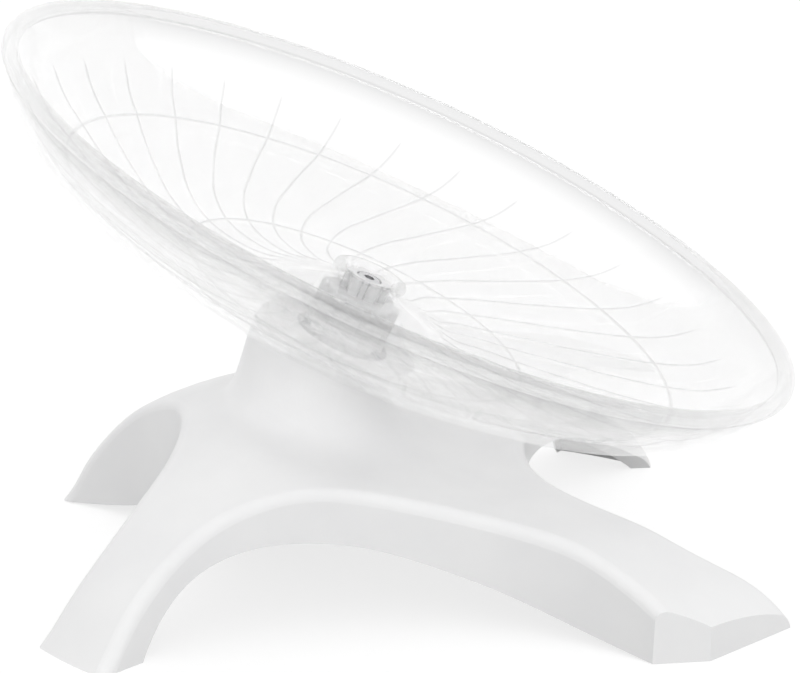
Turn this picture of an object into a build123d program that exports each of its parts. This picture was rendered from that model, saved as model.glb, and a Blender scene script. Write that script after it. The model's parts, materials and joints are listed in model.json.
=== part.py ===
from build123d import *
from math import cos, hypot, radians, sin, tan
import os

os.makedirs("parts", exist_ok=True)

# Driving sizes of the whole wheel, in millimetres and degrees
rim_diameter = 180.0
rim_height = 78.5
bowl_depth = 28.0
dish_tilt = 24.2
foot_spread = 88.0
rim_setback = 1.0
overrun = 1.0

# Clearances and fits shared by the pieces
fit_gap = 0.05
slip_gap = 0.15
turn_gap = 0.6
touch_gap = 0.3

# Clear running dish
dish_wall = 2.0
rim_bead = 3.6
tread_width = 0.8
tread_height = 0.3
tread_root = 0.4

# Inner surface of the dish: share of the rim radius, share of the bowl depth
floor_shares = [
    (0.200, 0.927), (0.267, 0.991), (0.344, 0.998), (0.429, 0.986), (0.522, 0.930),
    (0.611, 0.847), (0.700, 0.749), (0.781, 0.644), (0.844, 0.548), (0.900, 0.403),
    (0.938, 0.250), (0.959, 0.095),
]
# Two raised tread rings: share of the rim radius
tread_ring_shares = [0.427, 0.770]

# Clear socket in the middle of the dish
cup_drop = 19.3
cup_radius = 6.5
cup_wall = 1.1
lip_radius = 8.2
lip_height = 1.5
lip_bevel = 1.1
cone_edge_drop = 22.8

# Grey lobed hub under the socket
hub_drop = 24.2
hub_height = 9.8
lobe_count = 8
lobe_radius = 2.3
hub_radius = 8.9
hub_edge = 0.8
petal_count = 6
petal_radius = 1.35
post_radius = 5.1
post_height = 3.9
boss_radius = 5.9
hub_web = 2.6

# Hub screw, spindle, washers and retaining ring
screw_radius = 1.5
screw_length = 9.0
screw_head_radius = 2.7
screw_head_height = 1.9
socket_key_radius = 1.25
socket_key_depth = 1.1
spindle_radius = 4.0
spindle_point = 0.5
washer_radius = 6.0
washer_height = 0.5
clip_height = 0.8
clip_width = 2.0
clip_mouth_share = 0.55
clip_groove = 0.5
spindle_tail = 1.2

# Ball bearings: 8 mm bore, 22 mm outside, 7 mm wide
bearing_bore = 4.0
bearing_outside = 11.0
bearing_width = 7.0
ball_radius = 1.985
ball_count = 7
inner_land_radius = 6.05
outer_land_radius = 9.5
race_gap = 0.05
pocket_gap = 0.08
cage_width = 5.0
cage_wall = 1.5
shield_inset = 0.25
shield_height = 0.4
bearing_space = 6.0
spacer_wall = 1.4
sleeve_wall = 1.3

# White base: shell, neck and bearing tube
shell_wall = 2.2
neck_radius = 16.8
neck_length = 11.5
neck_mouth_radius = 10.4
flare_radius = 18.0
skirt_draft = 2.0
skirt_edge = 2.6
tube_wall = 2.2
tube_tail = 1.5
tube_rib_count = 4
tube_rib_width = 1.8
tube_rib_length = 13.0
tube_rib_turn = 45.0
cover_boss_count = 3
cover_boss_radius = 2.7
cover_boss_sink = 1.2
cover_boss_length = 7.0
cover_height = 2.0
cover_ring_wall = 1.2
cover_cup_radius = 7.2
cover_cup_wall = 1.6
cover_screw_radius = 1.1
cover_screw_length = 8.0
cover_screw_head_radius = 2.1
cover_screw_head_height = 1.4
cover_screw_slot = 0.6

# Base sections from the floor to the foot of the neck: shares of the shoulder height, of the foot
# spread (radius, then the middle's place towards the low side) and of the dish tilt (lean)
shoulder_height = 30.5
shoulder_shares = [
    (0.000, 1.000, 0.006, 0.000), (0.279, 0.932, 0.011, 0.017), (0.475, 0.852, 0.000, 0.062),
    (0.613, 0.778, -0.006, 0.116), (0.738, 0.693, -0.011, 0.174), (0.843, 0.574, -0.017, 0.289),
    (0.911, 0.455, -0.045, 0.434), (1.000, 0.290, -0.148, 0.682),
]
stance_side = -5.0
seam_turn = -35.0

# Hollows between the legs: turn in degrees, side where the arch is steep, then shares of the foot
# spread (distance of the hollow's centre, its radius, half the arch's width) and of the arch height
arch_height = 18.2
hollow_turns = [(-84.0, -1), (14.6, 1), (107.0, -1), (192.8, 1)]
hollow_shares = [
    (1.268, 0.794, 0.574, 1.000), (0.910, 0.597, 0.580, 0.770),
    (1.173, 0.685, 0.545, 1.000), (1.105, 0.550, 0.489, 0.934),
]
# Upright cuts that square the toe of the low front leg: turn in degrees, distance as a share of
# the foot spread
toe_shares = [(-74.7, 0.790), (-37.7, 0.977)]
# Edge of an arch from its steep side: share of the half width, share of the height
arch_shares = [
    (-1.00, 0.00), (-0.94, 0.38), (-0.82, 0.77), (-0.64, 0.97), (-0.44, 1.00), (-0.14, 0.89),
    (0.16, 0.65), (0.40, 0.44), (0.72, 0.15), (1.00, 0.00),
]

# Sizes worked out from the values above
rim_radius = rim_diameter / 2
bead_radius = rim_bead / 2
bead_circle = rim_radius - bead_radius
tilt = radians(dish_tilt)
axis_dir = Vector(sin(tilt), 0, cos(tilt))
rim_centre = Vector(-rim_setback, 0, rim_height) + axis_dir * bead_radius
dish_plane = Plane(origin=rim_centre, x_dir=(cos(tilt), 0, -sin(tilt)), z_dir=axis_dir)
hub_bottom = -hub_drop - hub_height
neck_top = hub_bottom - turn_gap
boss_length = turn_gap + shell_wall - washer_height
boss_bottom = hub_bottom - boss_length
upper_bearing_top = boss_bottom - washer_height
lower_bearing_top = upper_bearing_top - bearing_width - bearing_space
bearing_bottom = lower_bearing_top - bearing_width
washer_bottom = bearing_bottom - washer_height
clip_bottom = washer_bottom - clip_height
spindle_bottom = clip_bottom - spindle_tail
spindle_top = -hub_drop + post_height - screw_head_height - hub_web
tube_bottom = bearing_bottom - tube_tail
tube_radius = bearing_outside + tube_wall
pitch_radius = (inner_land_radius + outer_land_radius) / 2
cover_boss_circle = tube_radius + cover_boss_radius - cover_boss_sink


def put(shape, name, plane=None):
    """Writes one named piece; plane carries a piece drawn about the dish axis to its place."""
    if plane is not None:
        shape = plane.location * shape
    shape.label = name
    export_step(shape, f"parts/{name}.step")
    return shape


def ring(outer, inner, bottom, top):
    """Plain ring about the Z axis between two heights."""
    section = Pos((outer + inner) / 2, 0, (top + bottom) / 2) * Rot(90, 0, 0)
    return revolve(section * Rectangle(outer - inner, top - bottom), Axis.Z)


def rod(radius, bottom, top):
    """Plain round rod about the Z axis between two heights."""
    return Pos(0, 0, bottom) * extrude(Circle(radius), top - bottom)


def around(shape, count, start=0.0):
    """Copies of a shape spread evenly round the Z axis."""
    return [Rot(0, 0, start + 360 * i / count) * shape for i in range(count)]


def turned(points):
    """Solid of revolution from a closed outline of radius and height pairs."""
    outline = Polyline(*[(r, 0, z) for r, z in points], close=True)
    return revolve(make_face(outline), Axis.Z)


def petals(core, reach, petal, count):
    """Flat star outline: a round core with petals that reach to one radius."""
    face = Circle(core)
    for i in range(count):
        turn = radians(360 * i / count)
        centre = Pos((reach - petal) * cos(turn), (reach - petal) * sin(turn))
        face += centre * Circle(petal)
    return face


def floor_curve(lift=0.0):
    """Inner surface of the dish from the socket to the rim, lifted along its normal."""
    base = Spline(*[(rim_radius * r, 0, -bowl_depth * d) for r, d in floor_shares])
    if not lift:
        return base
    steps = 3 * len(floor_shares)
    points = []
    for i in range(steps + 1):
        tangent = base % (i / steps)
        points.append(base @ (i / steps) + Vector(-tangent.Z, 0, tangent.X) * lift)
    return Spline(*points)


def layer(low, high):
    """Thin bowl-shaped layer between two lifts of the inner surface."""
    lower = floor_curve(low)
    upper = floor_curve(high)
    ends = [Line(lower @ 0, upper @ 0), Line(lower @ 1, upper @ 1)]
    return revolve(make_face([lower, upper] + ends), Axis.Z)


def running_dish():
    """Clear dish: bowl, rolled rim, middle socket with its star, and the raised tread."""
    inner = floor_curve()
    outer = floor_curve(-dish_wall)
    seat_radius = hub_radius + slip_gap
    rim_seat = Vector(bead_circle, 0, -bead_radius)
    profile = make_face([
        inner, outer,
        Line(inner @ 1, rim_seat), Line(rim_seat, outer @ 1),
        Polyline(
            inner @ 0, (seat_radius, 0, -cone_edge_drop), (cup_radius, 0, -cone_edge_drop),
            (cup_radius, 0, -hub_drop), (seat_radius, 0, -hub_drop), outer @ 0),
    ])
    profile += Plane.XZ * Pos(bead_circle, -bead_radius) * Circle(bead_radius)
    lip_bottom = -cup_drop - lip_height
    cup = Polyline(
        (0, 0, -cup_drop), (lip_radius, 0, -cup_drop), (lip_radius, 0, lip_bottom),
        (cup_radius, 0, lip_bottom - lip_bevel), (cup_radius, 0, -hub_drop), (0, 0, -hub_drop), close=True)
    dish = revolve(profile, Axis.Z) + revolve(make_face(cup), Axis.Z)
    bore = post_radius + slip_gap
    throat = bore + slip_gap
    floor = -cup_drop - lip_bevel
    dish -= turned([(0, -cup_drop), (throat + lip_bevel, -cup_drop), (throat, floor), (0, floor)])
    star = petals(screw_head_radius + cup_wall + slip_gap, bore, petal_radius + slip_gap, petal_count)
    dish -= Pos(0, 0, -hub_drop) * extrude(star, hub_drop - cup_drop)
    tread = layer(-tread_root, tread_height)
    for share in tread_ring_shares:
        radius = rim_radius * share
        band = ring(radius + tread_width / 2, radius - tread_width / 2, -bowl_depth - overrun, 0)
        dish += band & tread
    return dish


def lobed_hub():
    """Grey hub: lobed drum, petalled post for the dish's socket, and a boss for the bearing."""
    drum = petals(hub_radius - lobe_radius / 2, hub_radius, lobe_radius, lobe_count)
    drum = extrude(drum, hub_height)
    drum = fillet(drum.edges().group_by(Axis.Z)[-1], hub_edge)
    hub = Pos(0, 0, hub_bottom) * drum
    post = petals(screw_head_radius + cup_wall, post_radius, petal_radius, petal_count)
    hub += Pos(0, 0, -hub_drop) * extrude(post, post_height)
    hub += rod(boss_radius, boss_bottom, hub_bottom)
    post_top = -hub_drop + post_height
    hub -= rod(screw_head_radius + slip_gap, spindle_top + hub_web, post_top)
    hub -= rod(screw_radius + slip_gap, spindle_top, post_top)
    hub -= rod(spindle_radius + fit_gap, boss_bottom, spindle_top)
    return hub


def hub_screw():
    """Pan-head screw with a hexagon socket that holds the hub on the spindle."""
    seat = spindle_top + hub_web
    screw = rod(screw_head_radius, seat, seat + screw_head_height)
    screw = fillet(screw.edges().group_by(Axis.Z)[-1], screw_head_height / 3)
    screw += rod(screw_radius, seat - screw_length, seat)
    key = Pos(0, 0, seat + screw_head_height - socket_key_depth)
    screw -= key * extrude(RegularPolygon(socket_key_radius, 6), socket_key_depth)
    return screw


def spindle():
    """Steel spindle, tapped at the top for the hub screw and grooved for the retaining ring."""
    body = rod(spindle_radius, spindle_bottom, spindle_top)
    ends = [body.edges().group_by(Axis.Z)[i] for i in (0, -1)]
    body = chamfer(ends[0] + ends[1], spindle_point)
    tapped = screw_length - hub_web + overrun
    body -= rod(screw_radius + fit_gap, spindle_top - tapped, spindle_top)
    groove_radius = spindle_radius - clip_groove
    body -= ring(spindle_radius + overrun, groove_radius, clip_bottom - fit_gap, washer_bottom)
    return body


def washer(top):
    """Plain washer on the spindle under the given height."""
    return ring(washer_radius, spindle_radius + fit_gap, top - washer_height, top)


def retaining_ring():
    """Open snap ring in the spindle's groove under the lower washer."""
    inner = spindle_radius - clip_groove + fit_gap
    clip = ring(inner + clip_width, inner, clip_bottom, washer_bottom)
    mouth_width = 2 * inner * clip_mouth_share
    mouth = Rectangle(inner + clip_width + overrun, mouth_width, align=(Align.MIN, Align.CENTER))
    clip -= Pos(0, 0, clip_bottom) * extrude(mouth, clip_height)
    return clip


def ball_groove():
    """Ring-shaped groove that the balls run in, about the middle of a bearing."""
    return Torus(pitch_radius, ball_radius + race_gap)


def bearing(name, top):
    """One shielded ball bearing as separate rings, cage, balls and shields."""
    middle = top - bearing_width / 2
    half = bearing_width / 2
    place = Pos(0, 0, middle)
    outer = ring(bearing_outside, outer_land_radius, -half, half) - ball_groove()
    inner = ring(inner_land_radius, bearing_bore + fit_gap, -half, half) - ball_groove()
    balls = around(Pos(pitch_radius, 0, 0) * Sphere(ball_radius), ball_count)
    pocket = rod(ball_radius + pocket_gap, pitch_radius - cage_wall, pitch_radius + cage_wall)
    cage_half = cage_width / 2
    cage = ring(pitch_radius + cage_wall / 2, pitch_radius - cage_wall / 2, -cage_half, cage_half)
    cage -= around(Rot(0, 90, 0) * pocket, ball_count)
    shields = []
    for side in (-1, 1):
        face = side * (half - shield_inset - shield_height / 2)
        plate = ring(outer_land_radius - fit_gap, inner_land_radius + touch_gap,
                     face - shield_height / 2, face + shield_height / 2)
        shields.append(plate)
    put(place * outer, f"{name}_outer_ring", dish_plane)
    put(place * inner, f"{name}_inner_ring", dish_plane)
    put(place * cage, f"{name}_cage", dish_plane)
    put(Compound(children=[place * ball for ball in balls]), f"{name}_balls", dish_plane)
    put(Compound(children=[place * plate for plate in shields]), f"{name}_shields", dish_plane)


def base_sections():
    """Middle, radius and lean of each base section from the floor to the top of the neck."""
    neck_foot = rim_centre + axis_dir * (neck_top - neck_length)
    sections = []
    for height, spread, lead, lean in shoulder_shares:
        side = stance_side * (1 - height)
        middle = Vector(foot_spread * lead - rim_setback, side, shoulder_height * height)
        sections.append((middle, foot_spread * spread, dish_tilt * lean))
    sections.append((neck_foot, flare_radius, dish_tilt))
    sections.append((rim_centre + axis_dir * neck_top, neck_radius, dish_tilt))
    return sections


def tent(inset):
    """Smooth body from the floor to the neck; inset gives the space inside the wall."""
    sections = base_sections()
    faces = []
    for i, (middle, radius, lean) in enumerate(sections):
        low = sections[max(i - 1, 0)]
        high = sections[min(i + 1, len(sections) - 1)]
        rise = (high[0] - low[0]).length
        run = low[1] - high[1]
        slant = hypot(rise, run)
        up = Vector(sin(radians(lean)), 0, cos(radians(lean)))
        drop = inset if high is sections[i] else inset * run / slant
        plane = Plane(origin=middle - up * drop, x_dir=(up.Z, 0, -up.X), z_dir=up)
        faces.append(plane * Rot(0, 0, seam_turn) * Circle(radius - inset * rise / slant))
    return loft(faces)


def hollows():
    """Place, radius, arch half width, arch height and steep side of each hollow; the place has
    its X axis pointing away from the stand."""
    found = []
    for (turn, side), (away, radius, half, peak) in zip(hollow_turns, hollow_shares):
        reach = foot_spread * away
        place = Pos(reach * cos(radians(turn)) - rim_setback, reach * sin(radians(turn)), 0)
        place *= Rot(0, 0, turn)
        found.append((place, foot_spread * radius, foot_spread * half, arch_height * peak, side))
    return found


def hollow_cone(place, radius, inset):
    """Upright cutter with a slight draft for the space between two legs."""
    near = radius + inset
    wider = near + rim_height * tan(radians(skirt_draft))
    stand = (Align.CENTER, Align.CENTER, Align.MIN)
    return place * Pos(0, 0, -overrun) * Cone(near, wider, rim_height, align=stand)


def legged(inset):
    """The tent with the hollows between its four legs taken out."""
    body = tent(inset)
    for place, radius, *arch in hollows():
        body -= hollow_cone(place, radius, inset)
    return body


def squared(body, inset):
    """A leg body with the low front leg's toe cut square."""
    stand = (Align.MIN, Align.CENTER, Align.MIN)
    block = Box(foot_spread, 2 * foot_spread, rim_height, align=stand)
    for turn, share in toe_shares:
        place = Pos(-rim_setback, 0, 0) * Rot(0, 0, turn) * Pos(foot_spread * share - inset, 0, -overrun)
        body -= place * block
    return body


def skirt_edges(body):
    """Edges where the hollows meet the top of the legs."""
    found = []
    for edge in body.edges():
        point = edge @ 0.5
        flat = Vector(point.X, point.Y, 0)
        away = [abs((flat - place.position).length - radius) for place, radius, *arch in hollows()]
        if point.Z > shell_wall and min(away) < skirt_edge:
            found.append(edge)
    return found


def arch_cutter(place, radius, half, peak, side):
    """Cutter for the arched lower edge of one skirt between two feet."""
    points = [(-side * half * u, peak * v) for u, v in arch_shares]
    curve = Spline(*[(0, y, z) for y, z in points])
    first = points[0][0]
    last = points[-1][0]
    skirt = Polyline((0, first, 0), (0, first, -overrun), (0, last, -overrun), (0, last, 0))
    arch = extrude(make_face([curve, skirt]), radius + 2 * shell_wall, dir=(-1, 0, 0))
    return (place * arch) & hollow_cone(place, radius, shell_wall + overrun)


def base_shell():
    """White stand: hollow four-legged shell with its neck, bearing tube and cover bosses."""
    outer = legged(0)
    outer = squared(fillet(skirt_edges(outer), skirt_edge), 0)
    shell = outer - squared(legged(shell_wall), shell_wall)
    for hollow in hollows():
        shell -= arch_cutter(*hollow)
    plate = neck_top - shell_wall
    inside = ring(tube_radius, bearing_outside, tube_bottom, plate)
    rib = Pos(bearing_outside, 0, plate) * Box(
        tube_wall + neck_radius - bearing_outside, tube_rib_width, tube_rib_length,
        align=(Align.MIN, Align.CENTER, Align.MAX))
    for web in around(rib, tube_rib_count, tube_rib_turn):
        inside += web
    for boss in around(Pos(cover_boss_circle, 0, 0) * rod(
            cover_boss_radius, tube_bottom, tube_bottom + cover_boss_length), cover_boss_count):
        inside += boss
    inside -= rod(bearing_outside + fit_gap, tube_bottom, plate)
    pilot_top = tube_bottom + cover_screw_length - cover_height + touch_gap
    pilot = Pos(cover_boss_circle, 0, 0) * rod(cover_screw_radius + fit_gap, tube_bottom, pilot_top)
    inside -= around(pilot, cover_boss_count)
    shell += (dish_plane.location * inside) & outer
    shell -= dish_plane.location * rod(neck_mouth_radius, plate - fit_gap, neck_top + overrun)
    return shell


def bearing_cover():
    """White cap under the bearing tube: it holds the lower bearing and hides the spindle's end."""
    cup_bottom = spindle_bottom - turn_gap - cover_cup_wall
    cover = ring(tube_radius, cover_cup_radius, tube_bottom - cover_height, tube_bottom)
    cover += ring(bearing_outside - fit_gap, bearing_outside - cover_ring_wall, tube_bottom, bearing_bottom)
    cover += ring(cover_cup_radius + cover_cup_wall, cover_cup_radius, cup_bottom, tube_bottom)
    cover += rod(cover_cup_radius, cup_bottom, cup_bottom + cover_cup_wall)
    ear = Pos(cover_boss_circle, 0, 0) * rod(cover_boss_radius, tube_bottom - cover_height, tube_bottom)
    cover += [ear_copy - rod(tube_radius - overrun, cup_bottom, tube_bottom) for ear_copy in
              around(ear, cover_boss_count)]
    hole = Pos(cover_boss_circle, 0, 0) * rod(cover_screw_radius + slip_gap, cup_bottom, tube_bottom)
    cover -= around(hole, cover_boss_count)
    return cover


def cover_screws():
    """Three pan-head self-tapping screws with a cross slot for the bearing cover."""
    seat = tube_bottom - cover_height
    screw = rod(cover_screw_radius, seat, seat + cover_screw_length)
    head = rod(cover_screw_head_radius, seat - cover_screw_head_height, seat)
    head = fillet(head.edges().group_by(Axis.Z)[0], cover_screw_head_height / 2)
    slot = Box(2 * cover_screw_radius, cover_screw_slot, cover_screw_head_height)
    cross = Pos(0, 0, seat - cover_screw_head_height) * (slot + Rot(0, 0, 90) * slot)
    screw += head - cross
    return Compound(children=around(Pos(cover_boss_circle, 0, 0) * screw, cover_boss_count))


# Pieces that turn with the dish
put(running_dish(), "running_dish", dish_plane)
put(lobed_hub(), "lobed_hub", dish_plane)
put(hub_screw(), "hub_screw", dish_plane)
put(spindle(), "spindle", dish_plane)
put(washer(boss_bottom), "hub_washer", dish_plane)
put(washer(bearing_bottom), "spindle_washer", dish_plane)
put(retaining_ring(), "retaining_ring", dish_plane)
spacer_top = upper_bearing_top - bearing_width
put(ring(bearing_bore + fit_gap + spacer_wall, bearing_bore + fit_gap, lower_bearing_top, spacer_top),
    "inner_spacer", dish_plane)

# Bearings
bearing("upper_bearing", upper_bearing_top)
bearing("lower_bearing", lower_bearing_top)

# Pieces that stand still
put(ring(bearing_outside, bearing_outside - sleeve_wall, lower_bearing_top, spacer_top),
    "outer_spacer", dish_plane)
put(base_shell(), "base_shell")
put(bearing_cover(), "bearing_cover", dish_plane)
put(cover_screws(), "cover_screws", dish_plane)
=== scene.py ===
import json
from collections import namedtuple
from math import cos, hypot, pi, radians, sin, sqrt

import bpy
from mathutils import Matrix, Vector

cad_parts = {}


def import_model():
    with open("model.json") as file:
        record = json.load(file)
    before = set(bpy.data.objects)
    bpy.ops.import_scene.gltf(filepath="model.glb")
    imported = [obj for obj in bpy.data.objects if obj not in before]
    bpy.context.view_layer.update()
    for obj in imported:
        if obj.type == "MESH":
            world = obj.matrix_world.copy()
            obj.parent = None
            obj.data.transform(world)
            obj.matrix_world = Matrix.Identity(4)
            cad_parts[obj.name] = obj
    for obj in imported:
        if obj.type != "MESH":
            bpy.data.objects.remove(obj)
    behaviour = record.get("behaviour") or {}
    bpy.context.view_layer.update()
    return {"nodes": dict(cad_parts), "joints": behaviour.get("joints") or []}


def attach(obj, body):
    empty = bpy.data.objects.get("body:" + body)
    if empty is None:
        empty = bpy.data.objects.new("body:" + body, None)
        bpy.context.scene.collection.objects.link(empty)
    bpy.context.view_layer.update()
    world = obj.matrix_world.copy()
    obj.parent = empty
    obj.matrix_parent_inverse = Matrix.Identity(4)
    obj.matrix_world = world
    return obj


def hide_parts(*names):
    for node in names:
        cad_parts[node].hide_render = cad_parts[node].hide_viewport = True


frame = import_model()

mm = 0.001

# Camera of the photograph: where it stands, its turn and dip in degrees, and its lens
camera_place = Vector((75.4, -629.3, 230.7)) * mm
camera_turn = 7.02
camera_dip = 16.0
camera_lens = 140.2
camera_sensor = 36.0

# Clear dish, the same sizes as the solid that it stands for
rim_radius = 90 * mm
bowl_depth = 28 * mm
dish_wall = 2 * mm
# Inner surface of the bowl: share of the rim radius, share of the depth
bowl_shares = [
    (0.200, 0.927), (0.267, 0.991), (0.344, 0.998), (0.429, 0.986), (0.522, 0.930),
    (0.611, 0.847), (0.700, 0.749), (0.781, 0.644), (0.844, 0.548), (0.900, 0.403),
    (0.938, 0.250), (0.959, 0.095),
]

# Rolled rim: a round bead, drawn as an arc between two turns in degrees
bead_radius = 1.8 * mm
bead_start = 200
bead_end = -84

# Clear socket in the middle of the dish
cup_drop = 19.3 * mm
cup_radius = 6.5 * mm
lip_radius = 8.2 * mm
lip_height = 1.5 * mm
lip_bevel = 1.1 * mm
throat_radius = 5.4 * mm
cone_edge_drop = 22.8 * mm
hub_drop = 24.2 * mm
seat_radius = 9.05 * mm
edge_round = 0.25 * mm
# Star-shaped hole in the socket
star_core = 3.95 * mm
star_reach = 5.25 * mm
star_petal = 1.5 * mm
star_count = 6

# Raised tread on the inner surface: curved ribs and two rings
rib_count = 33
rib_half_width = 0.45 * mm
rib_height = 0.24 * mm
ring_height = 0.3 * mm
rib_inner_radius = 18.6 * mm
rib_outer_radius = 81.7 * mm
rib_fade = 1.6 * mm
first_rib_turn = -173.95
tread_ring_shares = [0.427, 0.770]
# Sweep of one rib: share of the rim radius, turn in degrees from where it crosses the outer ring
sweep_turns = [
    (0.200, 17.4), (0.267, 20.8), (0.344, 22.7), (0.429, 19.6), (0.522, 14.2),
    (0.611, 8.1), (0.700, 3.2), (0.770, 0.0), (0.844, -2.2), (0.905, -3.5), (0.959, -3.9),
]

# How much of the painted shade grey each part of the dish shows, from 0 to 1: the ribs and rings, the
# rolled rim and the rim's two edge lines
tread_shade = 0.75
bead_shade = 0.5
bead_edge_shade = 1.0

# Mesh of the dish: columns across one rib, in shares of its half width, columns between two ribs, in
# shares of the gap, numbers of rows, and the steps over which slopes are measured
rib_column_shares = [-1.35, -1.0, -0.72, -0.38, 0.0, 0.38, 0.72, 1.0, 1.35]
gap_column_shares = [0.25, 0.5, 0.75]
cone_steps = 9
bowl_steps = 40
bead_steps = 16
wall_steps = 30
curve_steps = 440
slope_step = 0.4 * mm
sweep_step = 1 * mm

# Angles in degrees beyond which an edge stays sharp
crease = 35
stand_crease = 65
dish_crease = 38

# Painted shade on the clear plastic: a grey on its tread and rim, which stands in for the darkness
# that refraction gives its ribs and rolled rim, and a grey at its outline, which stands in for the
# longer way light runs through it there. The blend says how early the second one starts.
painted_shade_grey = (0.08, 0.08, 0.082, 1)
painted_outline_shade = (0.50, 0.505, 0.51, 1)
outline_blend = 0.08

# Pieces that are plain turned or stamped steel
steel_pieces = ["spindle", "hub_screw", "hub_washer", "spindle_washer", "retaining_ring",
                "inner_spacer", "outer_spacer"]

# Noise values that a colour or roughness range is spread over
noise_low = 0.3
noise_high = 0.7

# Studio: floor, sky and lamps. The glow shows only to the eye, in gloss and through clear plastic, so
# it makes the floor look white and doesn't light the object.
floor_size = 14.0
floor_glow = 0.765
floor_roughness = 0.9
white = (1, 1, 1, 1)
# Upward part of a direction up to which the sky is white, and from which it is a little darker
sky_white_end = 0.40
sky_dim_start = 0.62
sky_dim = (0.88, 0.88, 0.88, 1)
# Each lamp: place, height that it points at, size and power
lamps = {
    "key": ((-0.8, -5.2, 1.16), 0.04, 3.2, 62.0),
    "side": ((-4.8, -2.2, 0.77), 0.03, 2.4, 21.0),
    "fill": ((4.2, -3.4, 0.87), 0.03, 2.4, 80.0),
}

nodes = frame["nodes"]
spin = next(j for j in frame["joints"] if j["name"] == "dish_spin")

# One ring of mesh points about the dish axis: its radius and height, the surface normal there, how
# far it is twisted in degrees, the radius that its columns are spaced for, and its shade. A radius of
# None follows the star-shaped hole, a shade of None the raised tread.
Row = namedtuple("Row", "radius height out up twist column shade")


def dish_matrix():
    """Carries a shape drawn about the dish axis, rim plane at zero, to its place."""
    axis = Vector(spin["axis"]).normalized()
    across = Vector((axis.z, 0, -axis.x))
    side = axis.cross(across)
    matrix = Matrix((across, side, axis)).transposed().to_4x4()
    matrix.translation = Vector(spin["pos_m"])
    return matrix


def blend(p, q, r, s, t):
    """Number between q and r on the smooth curve through four numbers, t from 0 to 1."""
    square = 2 * p - 5 * q + 4 * r - s
    cube = 3 * q - p - 3 * r + s
    return 0.5 * (2 * q + (r - p) * t + square * t * t + cube * t ** 3)


def through(points, steps):
    """Smooth curve through pairs of numbers, as a list of steps + 1 pairs."""
    before = tuple(2 * a - b for a, b in zip(points[0], points[1]))
    after = tuple(2 * a - b for a, b in zip(points[-1], points[-2]))
    knots = [before, *points, after]
    spans = len(points) - 1
    curve = []
    for i in range(steps + 1):
        k = min(i * spans // steps, spans - 1)
        t = i * spans / steps - k
        curve.append(tuple(blend(*four, t) for four in zip(*knots[k:k + 4])))
    return curve


def look_up(curve, x):
    """Second number of a curve where its first number is x."""
    for (x0, y0), (x1, y1) in zip(curve, curve[1:]):
        if x <= x1:
            return y0 + (y1 - y0) * (x - x0) / (x1 - x0)
    return curve[-1][1]


bowl_line = through([(rim_radius * r, -bowl_depth * d) for r, d in bowl_shares], curve_steps)
sweep_line = through([(rim_radius * r, t) for r, t in sweep_turns], curve_steps)
bowl_start = bowl_line[0][0]
bowl_end = bowl_line[-1][0]
start_twist = sweep_line[0][1]
end_twist = sweep_line[-1][1]
tread_rings = [rim_radius * share for share in tread_ring_shares]


def bowl_point(radius):
    """Height of the inner surface at a radius and its unit normal, as (height, out, up)."""
    low = max(radius - slope_step, bowl_start)
    high = min(radius + slope_step, bowl_end)
    rise = look_up(bowl_line, high) - look_up(bowl_line, low)
    run = high - low
    length = hypot(rise, run)
    return look_up(bowl_line, radius), -rise / length, run / length


def star_radius(turn):
    """Radius of the star-shaped hole in the socket in one direction."""
    pitch = 2 * pi / star_count
    off = (turn + pitch / 2) % pitch - pitch / 2
    centre = star_reach - star_petal
    side = centre * sin(off)
    if abs(side) >= star_petal:
        return star_core
    return max(star_core, centre * cos(off) + sqrt(star_petal ** 2 - side ** 2))


def swell(share):
    """Rounded ridge section: 1 in the middle, 0 from the edge on."""
    return (1 - share * share) ** 2 if abs(share) < 1 else 0.0


def plain_row(radius, height, twist=0, column=bowl_start, shade=0.0):
    """Row that carries no tread."""
    return Row(radius, height, 0, 0, twist, column, shade)


def socket_rows():
    """Socket from the edge of its hole over the lip and down its outside."""
    lip_bottom = -cup_drop - lip_height
    return [
        plain_row(None, -cup_drop - lip_bevel),
        plain_row(throat_radius, -cup_drop - lip_bevel),
        plain_row(throat_radius + lip_bevel, -cup_drop),
        plain_row(lip_radius - edge_round, -cup_drop),
        plain_row(lip_radius, -cup_drop - edge_round),
        plain_row(lip_radius, lip_bottom + edge_round),
        plain_row(lip_radius - edge_round, lip_bottom),
        plain_row(cup_radius, lip_bottom - lip_bevel),
        plain_row(cup_radius, -cone_edge_drop + edge_round),
    ]


def cone_rows():
    """Flat seat round the socket and the slope from it to where the tread starts."""
    start = cup_radius + edge_round
    fall = bowl_point(bowl_start)[0] + cone_edge_drop
    flat = (seat_radius - cup_radius) / (bowl_start - cup_radius)
    rows = []
    for i in range(cone_steps):
        share = i / cone_steps
        sloped = max(share - flat, 0) / (1 - flat)
        radius = start + (bowl_start - start) * share
        rows.append(plain_row(radius, -cone_edge_drop + fall * sloped, start_twist * share))
    return rows


def bowl_radii():
    """Radii of the mesh rows on the inner surface, close together across the two tread rings."""
    radii = [ring + share * rib_half_width for ring in tread_rings for share in rib_column_shares]
    for i in range(bowl_steps + 1):
        radius = bowl_start + (bowl_end - bowl_start) * i / bowl_steps
        if all(abs(radius - ring) > 2 * rib_half_width for ring in tread_rings):
            radii.append(radius)
    inner_end = [rib_inner_radius, rib_inner_radius + rib_fade]
    outer_end = [rib_outer_radius - rib_fade, rib_outer_radius]
    return sorted(radii + inner_end + outer_end)


def tread_rows():
    """Inner surface of the bowl, which carries the raised tread."""
    return [Row(radius, *bowl_point(radius), look_up(sweep_line, radius), radius, None)
            for radius in bowl_radii()]


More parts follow.
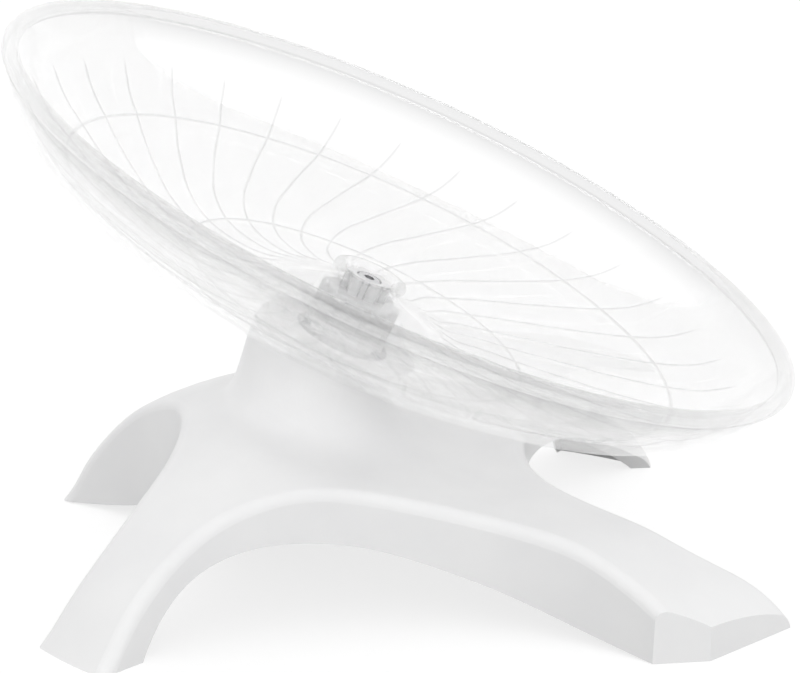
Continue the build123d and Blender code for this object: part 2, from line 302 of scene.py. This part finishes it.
def bead_rows():
    """Rolled rim, with a line of painted shade along each edge."""
    circle = rim_radius - bead_radius
    rows = []
    for i in range(bead_steps + 1):
        turn = radians(bead_start + (bead_end - bead_start) * i / bead_steps)
        radius = circle + bead_radius * cos(turn)
        height = -bead_radius + bead_radius * sin(turn)
        shade = bead_shade if 0 < i < bead_steps else bead_edge_shade
        rows.append(plain_row(radius, height, end_twist, bowl_end, shade))
    return rows


def under_rows():
    """Underside of the bowl, one wall thickness off the inner surface, and the seat on the hub."""
    rows = []
    for i in range(1, wall_steps + 1):
        share = i / wall_steps
        radius = bowl_end + (bowl_start - bowl_end) * share
        height, out, up = bowl_point(radius)
        place = radius - out * dish_wall, height - up * dish_wall
        rows.append(plain_row(*place, end_twist * (1 - share), bowl_end))
    return rows + [plain_row(seat_radius, -hub_drop), plain_row(None, -hub_drop)]


def column_turns(radius):
    """Turns of all mesh columns at a radius: close together across each rib, in radians."""
    pitch = 2 * pi / rib_count
    rise = look_up(sweep_line, radius + sweep_step) - look_up(sweep_line, radius - sweep_step)
    slope = rise / (2 * sweep_step)
    slant = hypot(1, radians(slope) * radius)
    half = rib_half_width * slant / radius
    edge = rib_column_shares[-1] * half
    turns = []
    for rib in range(rib_count):
        middle = rib * pitch
        for share in rib_column_shares:
            turns.append((middle + share * half, share))
        for share in gap_column_shares:
            turns.append((middle + edge + (pitch - 2 * edge) * share, None))
    return turns


def rib_strength(radius):
    """1 along a rib and 0 past its rounded ends."""
    inner = min(max((radius - rib_inner_radius) / rib_fade, 0), 1)
    outer = min(max((rib_outer_radius - radius) / rib_fade, 0), 1)
    return inner * outer


def ring_points(row):
    """Points of one row and the shade of each, as two lists."""
    raised = row.shade is None
    ring = max(swell((row.radius - r) / rib_half_width) for r in tread_rings) if raised else 0
    strength = rib_strength(row.radius) if raised else 0
    points = []
    shades = []
    for turn, share in column_turns(row.column):
        angle = turn + radians(first_rib_turn + row.twist)
        rib = swell(share) * strength if share is not None else 0
        lift = max(rib * rib_height, ring * ring_height)
        reach = (star_radius(angle) if row.radius is None else row.radius) + row.out * lift
        points.append((reach * cos(angle), reach * sin(angle), row.height + row.up * lift))
        shades.append(tread_shade * max(rib, ring) if raised else row.shade)
    return points, shades


def ring_faces(rows, columns):
    """Faces between neighbouring rows, the last row joined to the first."""
    faces = []
    for i in range(rows):
        below = i * columns
        above = (i + 1) % rows * columns
        for j in range(columns):
            k = (j + 1) % columns
            faces.append((below + j, above + j, above + k, below + k))
    return faces


def smooth_shading(mesh, angle):
    """Smooth shading with sharp edges kept where two faces meet at more than an angle in degrees."""
    mesh.shade_smooth()
    mesh.set_sharp_from_angle(angle=radians(angle))


def clear_dish():
    """The clear dish as one closed mesh, with its ribs and rings raised from the inner surface."""
    rows = socket_rows() + cone_rows() + tread_rows() + bead_rows() + under_rows()
    points = []
    shades = []
    for row in rows:
        row_points, row_shades = ring_points(row)
        points += row_points
        shades += row_shades
    mesh = bpy.data.meshes.new("clear_dish")
    mesh.from_pydata(points, [], ring_faces(len(rows), len(points) // len(rows)))
    mesh.transform(dish_matrix())
    # The tread attribute holds the painted shade of each point of the dish
    mesh.attributes.new("tread", "FLOAT", "POINT").data.foreach_set("value", shades)
    smooth_shading(mesh, dish_crease)
    mesh.update()
    mesh.materials.append(clear_plastic())
    shape = bpy.data.objects.new("clear_dish", mesh)
    bpy.context.scene.collection.objects.link(shape)
    return shape


def new_material(name):
    """Node material with its node tree and Principled shader."""
    material = bpy.data.materials.new(name)
    material.use_nodes = True
    tree = material.node_tree
    return material, tree, tree.nodes["Principled BSDF"]


def noise(tree, scale, detail, stretch=(1, 1, 1)):
    """Noise in object space; stretch gives streaks. Returns its value socket."""
    place = tree.nodes.new("ShaderNodeTexCoord")
    spread = tree.nodes.new("ShaderNodeMapping")
    spread.inputs["Scale"].default_value = stretch
    tree.links.new(place.outputs["Object"], spread.inputs["Vector"])
    texture = tree.nodes.new("ShaderNodeTexNoise")
    texture.inputs["Scale"].default_value = scale
    texture.inputs["Detail"].default_value = detail
    tree.links.new(spread.outputs["Vector"], texture.inputs["Vector"])
    return texture.outputs["Fac"]


def between(tree, value, low, high):
    """Spreads a noise value over a range."""
    spread = tree.nodes.new("ShaderNodeMapRange")
    spread.inputs["From Min"].default_value = noise_low
    spread.inputs["From Max"].default_value = noise_high
    spread.inputs["To Min"].default_value = low
    spread.inputs["To Max"].default_value = high
    tree.links.new(value, spread.inputs["Value"])
    return spread.outputs["Result"]


def ramp(tree, value, low, first, high, second):
    """Colour that is the first up to a low value and the second from a high value on."""
    stops = tree.nodes.new("ShaderNodeValToRGB")
    stops.color_ramp.elements[0].color = first
    stops.color_ramp.elements[1].color = second
    stops.color_ramp.elements[0].position = low
    stops.color_ramp.elements[1].position = high
    tree.links.new(value, stops.inputs["Fac"])
    return stops.outputs["Color"]


def tint(tree, value, dark, light):
    """Colour between two greys or hues by a noise value."""
    return ramp(tree, value, noise_low, (*dark, 1), noise_high, (*light, 1))


def mixed(tree, factor, first, second):
    """Mix of a colour socket and a fixed colour, by a factor socket: 0 is the first, 1 the second."""
    mix = tree.nodes.new("ShaderNodeMix")
    mix.data_type = "RGBA"
    mix.inputs["B"].default_value = second
    tree.links.new(factor, mix.inputs["Factor"])
    tree.links.new(first, mix.inputs["A"])
    return mix.outputs["Result"]


def bump(tree, value, depth, strength=0.5):
    """Fine surface relief from a value."""
    relief = tree.nodes.new("ShaderNodeBump")
    relief.inputs["Distance"].default_value = depth
    relief.inputs["Strength"].default_value = strength
    tree.links.new(value, relief.inputs["Height"])
    return relief.outputs["Normal"]


def moulded(name, dark, light, roughness, grain_scale, grain_depth):
    """Opaque moulded plastic: faint cloudy colour, uneven gloss and a fine grain."""
    material, tree, shader = new_material(name)
    cloud = noise(tree, scale=45, detail=4)
    gloss = noise(tree, scale=130, detail=5)
    grain = noise(tree, grain_scale, detail=2)
    tree.links.new(tint(tree, cloud, dark, light), shader.inputs["Base Color"])
    tree.links.new(between(tree, gloss, *roughness), shader.inputs["Roughness"])
    tree.links.new(bump(tree, grain, grain_depth), shader.inputs["Normal"])
    return material


def metal(name, dark, light, roughness, stretch):
    """Bare metal with fine tool marks along one direction."""
    material, tree, shader = new_material(name)
    marks = noise(tree, scale=900, detail=3, stretch=stretch)
    gloss = noise(tree, scale=400, detail=4)
    tree.links.new(tint(tree, marks, dark, light), shader.inputs["Base Color"])
    tree.links.new(between(tree, gloss, *roughness), shader.inputs["Roughness"])
    tree.links.new(bump(tree, marks, depth=0.01 * mm), shader.inputs["Normal"])
    shader.inputs["Metallic"].default_value = 1.0
    return material


def clear_plastic():
    """Clear plastic of the dish: faint cloud and flow streaks, and painted shade that makes it greyer
    on its tread, rim and outline.
    """
    material, tree, shader = new_material("clear_plastic")
    cloud = noise(tree, scale=22, detail=3)
    gloss = noise(tree, scale=60, detail=4)
    streaks = noise(tree, scale=26, detail=3, stretch=(1, 1, 9))
    tread = tree.nodes.new("ShaderNodeAttribute")
    tread.attribute_name = "tread"
    edge = tree.nodes.new("ShaderNodeLayerWeight")
    edge.inputs["Blend"].default_value = outline_blend
    body = tint(tree, cloud, dark=(0.972, 0.974, 0.976), light=(0.988, 0.988, 0.988))
    # Painted shade: greyer toward the outline, by how far each face turns away from the eye
    body = mixed(tree, edge.outputs["Facing"], body, painted_outline_shade)
    # Painted shade: grey on the ribs, rings and rolled rim, by the tread attribute
    body = mixed(tree, tread.outputs["Fac"], body, painted_shade_grey)
    tree.links.new(body, shader.inputs["Base Color"])
    tree.links.new(between(tree, gloss, low=0.01, high=0.05), shader.inputs["Roughness"])
    tree.links.new(bump(tree, streaks, depth=0.05 * mm, strength=0.05), shader.inputs["Normal"])
    shader.inputs["Transmission Weight"].default_value = 1.0
    shader.inputs["IOR"].default_value = 1.35
    shader.inputs["Alpha"].default_value = 0.32
    return material


def white_plastic():
    """Satin white plastic of the stand and its bearing cover."""
    return moulded("white_plastic", dark=(0.78, 0.78, 0.785), light=(0.82, 0.82, 0.82),
                   roughness=(0.30, 0.42), grain_scale=2600, grain_depth=0.02 * mm)


def grey_plastic():
    """Matte grey plastic of the hub."""
    return moulded("grey_plastic", dark=(0.76, 0.76, 0.765), light=(0.82, 0.82, 0.82),
                   roughness=(0.38, 0.55), grain_scale=3200, grain_depth=0.03 * mm)


def cage_plastic():
    """Cream plastic of the bearings' cages."""
    return moulded("cage_plastic", dark=(0.60, 0.57, 0.50), light=(0.66, 0.63, 0.56),
                   roughness=(0.45, 0.6), grain_scale=3200, grain_depth=0.02 * mm)


def bearing_steel():
    """Ground steel of the bearings' rings and shields."""
    return metal("bearing_steel", dark=(0.60, 0.60, 0.62), light=(0.72, 0.72, 0.74),
                 roughness=(0.18, 0.3), stretch=(1, 1, 6))


def plain_steel():
    """Turned steel of the spindle, washers and spacers."""
    return metal("plain_steel", dark=(0.62, 0.62, 0.63), light=(0.74, 0.74, 0.75),
                 roughness=(0.28, 0.42), stretch=(1, 1, 9))


def ball_steel():
    """Polished steel of the bearings' balls."""
    return metal("ball_steel", dark=(0.72, 0.72, 0.74), light=(0.80, 0.80, 0.82),
                 roughness=(0.05, 0.1), stretch=(1, 1, 1))


def plated_steel():
    """Zinc plated steel of the cover's screws."""
    return metal("plated_steel", dark=(0.55, 0.56, 0.56), light=(0.68, 0.69, 0.70),
                 roughness=(0.25, 0.4), stretch=(5, 1, 1))


def dress():
    """Gives every CAD node its material and smooth shading."""
    moulding = white_plastic()
    finish = dict.fromkeys(steel_pieces, plain_steel())
    finish.update(base_shell=moulding, bearing_cover=moulding, lobed_hub=grey_plastic(),
                  cover_screws=plated_steel())
    cage = cage_plastic()
    balls = ball_steel()
    ground = bearing_steel()
    for name, node in nodes.items():
        if name.endswith("cage"):
            material = cage
        elif name.endswith("balls"):
            material = balls
        else:
            material = finish.get(name, ground)
        node.data.materials.clear()
        node.data.materials.append(material)
        smooth_shading(node.data, stand_crease if name == "base_shell" else crease)


def seen(tree):
    """1 for rays from the eye, mirror rays and rays through clear plastic, 0 for other light."""
    path = tree.nodes.new("ShaderNodeLightPath")
    value = path.outputs["Is Camera Ray"]
    for kind in ("Is Transmission Ray", "Is Glossy Ray"):
        either = tree.nodes.new("ShaderNodeMath")
        either.operation = "MAXIMUM"
        tree.links.new(value, either.inputs[0])
        tree.links.new(path.outputs[kind], either.inputs[1])
        value = either.outputs[0]
    return value


def floor_material():
    """Matte surface that looks white to the eye and through the clear dish, and keeps shadows."""
    material, tree, shader = new_material("floor")
    cloud = noise(tree, scale=3, detail=2)
    body = tint(tree, cloud, dark=(0.24, 0.24, 0.24), light=(0.26, 0.26, 0.26))
    glow = tree.nodes.new("ShaderNodeMath")
    glow.operation = "MULTIPLY"
    glow.inputs[1].default_value = floor_glow
    tree.links.new(seen(tree), glow.inputs[0])
    tree.links.new(body, shader.inputs["Base Color"])
    tree.links.new(glow.outputs[0], shader.inputs["Emission Strength"])
    shader.inputs["Emission Color"].default_value = white
    shader.inputs["Roughness"].default_value = floor_roughness
    return material


def floor():
    """Plain pale floor that shows white and keeps the object's faint shadow."""
    half = floor_size / 2
    corners = [(-half, -half, 0), (half, -half, 0), (half, half, 0), (-half, half, 0)]
    mesh = bpy.data.meshes.new("floor")
    mesh.from_pydata(corners, [], [(0, 1, 2, 3)])
    mesh.materials.append(floor_material())
    plane = bpy.data.objects.new("floor", mesh)
    bpy.context.scene.collection.objects.link(plane)


def world():
    """Soft studio light, a little darker from above, that looks white behind the object."""
    studio = bpy.data.worlds.new("studio")
    bpy.context.scene.world = studio
    studio.use_nodes = True
    tree = studio.node_tree
    place = tree.nodes.new("ShaderNodeTexCoord")
    parts = tree.nodes.new("ShaderNodeSeparateXYZ")
    tree.links.new(place.outputs["Generated"], parts.inputs[0])
    sky = ramp(tree, parts.outputs["Z"], sky_white_end, white, sky_dim_start, sky_dim)
    sky = mixed(tree, seen(tree), sky, white)
    tree.links.new(sky, tree.nodes["Background"].inputs["Color"])


def lamp(name, place, aim_height, size, power):
    """Square soft lamp that points at a height above the origin. It shows neither in gloss nor
    through the clear dish."""
    data = bpy.data.lights.new(name, "AREA")
    data.size = size
    data.energy = power
    source = bpy.data.objects.new(name, data)
    source.location = place
    way = Vector((0, 0, aim_height)) - Vector(place)
    source.rotation_euler = way.to_track_quat("-Z", "Y").to_euler()
    source.visible_glossy = False
    source.visible_transmission = False
    bpy.context.scene.collection.objects.link(source)


def camera():
    """Camera at the photograph's place and angle."""
    data = bpy.data.cameras.new("camera")
    data.lens = camera_lens
    data.sensor_width = camera_sensor
    view = bpy.data.objects.new("camera", data)
    view.location = camera_place
    turn = radians(camera_turn)
    dip = radians(camera_dip)
    ahead = Vector((-sin(turn) * cos(dip), cos(turn) * cos(dip), -sin(dip)))
    view.rotation_euler = ahead.to_track_quat("-Z", "Y").to_euler()
    bpy.context.scene.collection.objects.link(view)
    bpy.context.scene.camera = view


dress()
dish = clear_dish()
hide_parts("running_dish")
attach(dish, "dish")

floor()
world()
for name, values in lamps.items():
    lamp(name, *values)
camera()
bpy.context.scene.view_settings.view_transform = "Standard"
